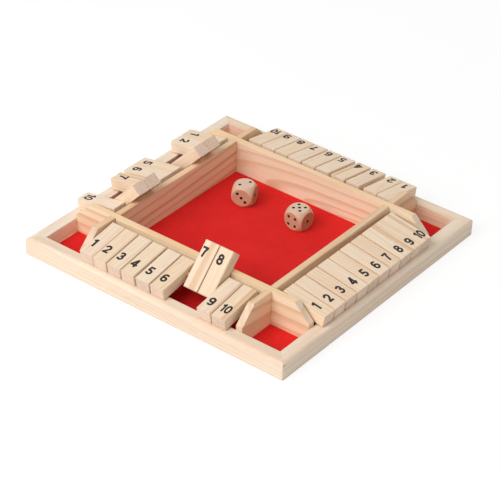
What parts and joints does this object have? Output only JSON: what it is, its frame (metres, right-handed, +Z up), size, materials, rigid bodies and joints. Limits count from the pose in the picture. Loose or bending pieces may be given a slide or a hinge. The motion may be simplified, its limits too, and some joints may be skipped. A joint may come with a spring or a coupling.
{
  "type": "shut the box game",
  "caption": "Square wooden shut the box game with a felt dice tray in the middle and a row of flip-over number tiles on a rod along each side.",
  "frame": {"origin": "centre of the frame's square underside", "axes": "+Z up; -Y is the south side, whose tiles count up towards +X; +X is the east side"},
  "size_m": [0.225, 0.225, 0.044],
  "materials": {
    "panel": "raw plywood",
    "felt": "short felt",
    "rail_wood": "sanded raw pine",
    "wall_wood": "sanded raw pine",
    "rod_wood": "plain dowel",
    "tile_wood": "sanded raw wood",
    "die_wood": "sanded raw wood, painted pips"
  },
  "bodies": {
    "frame": {"base_panel": "panel", "felt": "felt", "rail_south": "rail_wood", "rail_east": "rail_wood", "rail_north": "rail_wood", "rail_west": "rail_wood", "wall_south": "wall_wood", "wall_east": "wall_wood", "wall_north": "wall_wood", "wall_west": "wall_wood", "rod_south": "rod_wood", "rod_east": "rod_wood", "rod_north": "rod_wood", "rod_west": "rod_wood"},
    "tile_south_1": {"tile_south_1": "tile_wood"},
    "tile_south_2": {"tile_south_2": "tile_wood"},
    "tile_south_3": {"tile_south_3": "tile_wood"},
    "tile_south_4": {"tile_south_4": "tile_wood"},
    "tile_south_5": {"tile_south_5": "tile_wood"},
    "tile_south_6": {"tile_south_6": "tile_wood"},
    "tile_south_7": {"tile_south_7": "tile_wood"},
    "tile_south_8": {"tile_south_8": "tile_wood"},
    "tile_south_9": {"tile_south_9": "tile_wood"},
    "tile_south_10": {"tile_south_10": "tile_wood"},
    "tile_east_1": {"tile_east_1": "tile_wood"},
    "tile_east_2": {"tile_east_2": "tile_wood"},
    "tile_east_3": {"tile_east_3": "tile_wood"},
    "tile_east_4": {"tile_east_4": "tile_wood"},
    "tile_east_5": {"tile_east_5": "tile_wood"},
    "tile_east_6": {"tile_east_6": "tile_wood"},
    "tile_east_7": {"tile_east_7": "tile_wood"},
    "tile_east_8": {"tile_east_8": "tile_wood"},
    "tile_east_9": {"tile_east_9": "tile_wood"},
    "tile_east_10": {"tile_east_10": "tile_wood"},
    "tile_north_1": {"tile_north_1": "tile_wood"},
    "tile_north_2": {"tile_north_2": "tile_wood"},
    "tile_north_3": {"tile_north_3": "tile_wood"},
    "tile_north_4": {"tile_north_4": "tile_wood"},
    "tile_north_5": {"tile_north_5": "tile_wood"},
    "tile_north_6": {"tile_north_6": "tile_wood"},
    "tile_north_7": {"tile_north_7": "tile_wood"},
    "tile_north_8": {"tile_north_8": "tile_wood"},
    "tile_north_9": {"tile_north_9": "tile_wood"},
    "tile_north_10": {"tile_north_10": "tile_wood"},
    "tile_west_1": {"tile_west_1": "tile_wood"},
    "tile_west_2": {"tile_west_2": "tile_wood"},
    "tile_west_3": {"tile_west_3": "tile_wood"},
    "tile_west_4": {"tile_west_4": "tile_wood"},
    "tile_west_5": {"tile_west_5": "tile_wood"},
    "tile_west_6": {"tile_west_6": "tile_wood"},
    "tile_west_7": {"tile_west_7": "tile_wood"},
    "tile_west_8": {"tile_west_8": "tile_wood"},
    "tile_west_9": {"tile_west_9": "tile_wood"},
    "tile_west_10": {"tile_west_10": "tile_wood"},
    "die_left": {"die_left": "die_wood"},
    "die_right": {"die_right": "die_wood"}
  },
  "joints": [
    {"name": "tile_south_1_hinge", "type": "hinge", "parent": "frame", "child": "tile_south_1", "pos_m": [0, -0.08286, 0.022], "axis": [-1, 0, 0], "range_deg": [0, 142.94]},
    {"name": "tile_south_2_hinge", "type": "hinge", "parent": "frame", "child": "tile_south_2", "pos_m": [0, -0.08286, 0.022], "axis": [-1, 0, 0], "range_deg": [0, 142.94]},
    {"name": "tile_south_3_hinge", "type": "hinge", "parent": "frame", "child": "tile_south_3", "pos_m": [0, -0.08286, 0.022], "axis": [-1, 0, 0], "range_deg": [0, 142.94]},
    {"name": "tile_south_4_hinge", "type": "hinge", "parent": "frame", "child": "tile_south_4", "pos_m": [0, -0.08286, 0.022], "axis": [-1, 0, 0], "range_deg": [0, 142.94]},
    {"name": "tile_south_5_hinge", "type": "hinge", "parent": "frame", "child": "tile_south_5", "pos_m": [0, -0.08286, 0.022], "axis": [-1, 0, 0], "range_deg": [0, 142.94]},
    {"name": "tile_south_6_hinge", "type": "hinge", "parent": "frame", "child": "tile_south_6", "pos_m": [0, -0.08286, 0.022], "axis": [-1, 0, 0], "range_deg": [0, 142.94]},
    {"name": "tile_south_7_hinge", "type": "hinge", "parent": "frame", "child": "tile_south_7", "pos_m": [0, -0.08286, 0.022], "axis": [-1, 0, 0], "range_deg": [-142.94, 0]},
    {"name": "tile_south_8_hinge", "type": "hinge", "parent": "frame", "child": "tile_south_8", "pos_m": [0, -0.08286, 0.022], "axis": [-1, 0, 0], "range_deg": [-142.94, 0]},
    {"name": "tile_south_9_hinge", "type": "hinge", "parent": "frame", "child": "tile_south_9", "pos_m": [0, -0.08286, 0.022], "axis": [-1, 0, 0], "range_deg": [0, 142.94]},
    {"name": "tile_south_10_hinge", "type": "hinge", "parent": "frame", "child": "tile_south_10", "pos_m": [0, -0.08286, 0.022], "axis": [-1, 0, 0], "range_deg": [0, 142.94]},
    {"name": "tile_east_1_hinge", "type": "hinge", "parent": "frame", "child": "tile_east_1", "pos_m": [0.08286, 0, 0.022], "axis": [0, -1, 0], "range_deg": [0, 142.94]},
    {"name": "tile_east_2_hinge", "type": "hinge", "parent": "frame", "child": "tile_east_2", "pos_m": [0.08286, 0, 0.022], "axis": [0, -1, 0], "range_deg": [0, 142.94]},
    {"name": "tile_east_3_hinge", "type": "hinge", "parent": "frame", "child": "tile_east_3", "pos_m": [0.08286, 0, 0.022], "axis": [0, -1, 0], "range_deg": [0, 142.94]},
    {"name": "tile_east_4_hinge", "type": "hinge", "parent": "frame", "child": "tile_east_4", "pos_m": [0.08286, 0, 0.022], "axis": [0, -1, 0], "range_deg": [0, 142.94]},
    {"name": "tile_east_5_hinge", "type": "hinge", "parent": "frame", "child": "tile_east_5", "pos_m": [0.08286, 0, 0.022], "axis": [0, -1, 0], "range_deg": [0, 142.94]},
    {"name": "tile_east_6_hinge", "type": "hinge", "parent": "frame", "child": "tile_east_6", "pos_m": [0.08286, 0, 0.022], "axis": [0, -1, 0], "range_deg": [0, 142.94]},
    {"name": "tile_east_7_hinge", "type": "hinge", "parent": "frame", "child": "tile_east_7", "pos_m": [0.08286, 0, 0.022], "axis": [0, -1, 0], "range_deg": [0, 142.94]},
    {"name": "tile_east_8_hinge", "type": "hinge", "parent": "frame", "child": "tile_east_8", "pos_m": [0.08286, 0, 0.022], "axis": [0, -1, 0], "range_deg": [0, 142.94]},
    {"name": "tile_east_9_hinge", "type": "hinge", "parent": "frame", "child": "tile_east_9", "pos_m": [0.08286, 0, 0.022], "axis": [0, -1, 0], "range_deg": [0, 142.94]},
    {"name": "tile_east_10_hinge", "type": "hinge", "parent": "frame", "child": "tile_east_10", "pos_m": [0.08286, 0, 0.022], "axis": [0, -1, 0], "range_deg": [0, 142.94]},
    {"name": "tile_north_1_hinge", "type": "hinge", "parent": "frame", "child": "tile_north_1", "pos_m": [0, 0.08286, 0.022], "axis": [1, 0, 0], "range_deg": [0, 142.94]},
    {"name": "tile_north_2_hinge", "type": "hinge", "parent": "frame", "child": "tile_north_2", "pos_m": [0, 0.08286, 0.022], "axis": [1, 0, 0], "range_deg": [0, 142.94]},
    {"name": "tile_north_3_hinge", "type": "hinge", "parent": "frame", "child": "tile_north_3", "pos_m": [0, 0.08286, 0.022], "axis": [1, 0, 0], "range_deg": [0, 142.94]},
    {"name": "tile_north_4_hinge", "type": "hinge", "parent": "frame", "child": "tile_north_4", "pos_m": [0, 0.08286, 0.022], "axis": [1, 0, 0], "range_deg": [0, 142.94]},
    {"name": "tile_north_5_hinge", "type": "hinge", "parent": "frame", "child": "tile_north_5", "pos_m": [0, 0.08286, 0.022], "axis": [1, 0, 0], "range_deg": [0, 142.94]},
    {"name": "tile_north_6_hinge", "type": "hinge", "parent": "frame", "child": "tile_north_6", "pos_m": [0, 0.08286, 0.022], "axis": [1, 0, 0], "range_deg": [0, 142.94]},
    {"name": "tile_north_7_hinge", "type": "hinge", "parent": "frame", "child": "tile_north_7", "pos_m": [0, 0.08286, 0.022], "axis": [1, 0, 0], "range_deg": [0, 142.94]},
    {"name": "tile_north_8_hinge", "type": "hinge", "parent": "frame", "child": "tile_north_8", "pos_m": [0, 0.08286, 0.022], "axis": [1, 0, 0], "range_deg": [0, 142.94]},
    {"name": "tile_north_9_hinge", "type": "hinge", "parent": "frame", "child": "tile_north_9", "pos_m": [0, 0.08286, 0.022], "axis": [1, 0, 0], "range_deg": [0, 142.94]},
    {"name": "tile_north_10_hinge", "type": "hinge", "parent": "frame", "child": "tile_north_10", "pos_m": [0, 0.08286, 0.022], "axis": [1, 0, 0], "range_deg": [0, 142.94]},
    {"name": "tile_west_1_hinge", "type": "hinge", "parent": "frame", "child": "tile_west_1", "pos_m": [-0.08286, 0, 0.022], "axis": [0, 1, 0], "range_deg": [0, 142.94]},
    {"name": "tile_west_2_hinge", "type": "hinge", "parent": "frame", "child": "tile_west_2", "pos_m": [-0.08286, 0, 0.022], "axis": [0, 1, 0], "range_deg": [0, 142.94]},
    {"name": "tile_west_3_hinge", "type": "hinge", "parent": "frame", "child": "tile_west_3", "pos_m": [-0.08286, 0, 0.022], "axis": [0, 1, 0], "range_deg": [-142.94, 0]},
    {"name": "tile_west_4_hinge", "type": "hinge", "parent": "frame", "child": "tile_west_4", "pos_m": [-0.08286, 0, 0.022], "axis": [0, 1, 0], "range_deg": [-142.94, 0]},
    {"name": "tile_west_5_hinge", "type": "hinge", "parent": "frame", "child": "tile_west_5", "pos_m": [-0.08286, 0, 0.022], "axis": [0, 1, 0], "range_deg": [0, 142.94]},
    {"name": "tile_west_6_hinge", "type": "hinge", "parent": "frame", "child": "tile_west_6", "pos_m": [-0.08286, 0, 0.022], "axis": [0, 1, 0], "range_deg": [0, 142.94]},
    {"name": "tile_west_7_hinge", "type": "hinge", "parent": "frame", "child": "tile_west_7", "pos_m": [-0.08286, 0, 0.022], "axis": [0, 1, 0], "range_deg": [0, 142.94]},
    {"name": "tile_west_8_hinge", "type": "hinge", "parent": "frame", "child": "tile_west_8", "pos_m": [-0.08286, 0, 0.022], "axis": [0, 1, 0], "range_deg": [-142.94, 0]},
    {"name": "tile_west_9_hinge", "type": "hinge", "parent": "frame", "child": "tile_west_9", "pos_m": [-0.08286, 0, 0.022], "axis": [0, 1, 0], "range_deg": [-142.94, 0]},
    {"name": "tile_west_10_hinge", "type": "hinge", "parent": "frame", "child": "tile_west_10", "pos_m": [-0.08286, 0, 0.022], "axis": [0, 1, 0], "range_deg": [0, 142.94]},
    {"name": "die_left_lift", "type": "slide", "parent": "frame", "child": "die_left", "axis": [0, 0, 1], "range_m": [0, 0.06]},
    {"name": "die_right_lift", "type": "slide", "parent": "frame", "child": "die_right", "axis": [0, 0, 1], "range_m": [0, 0.06]}
  ]
}
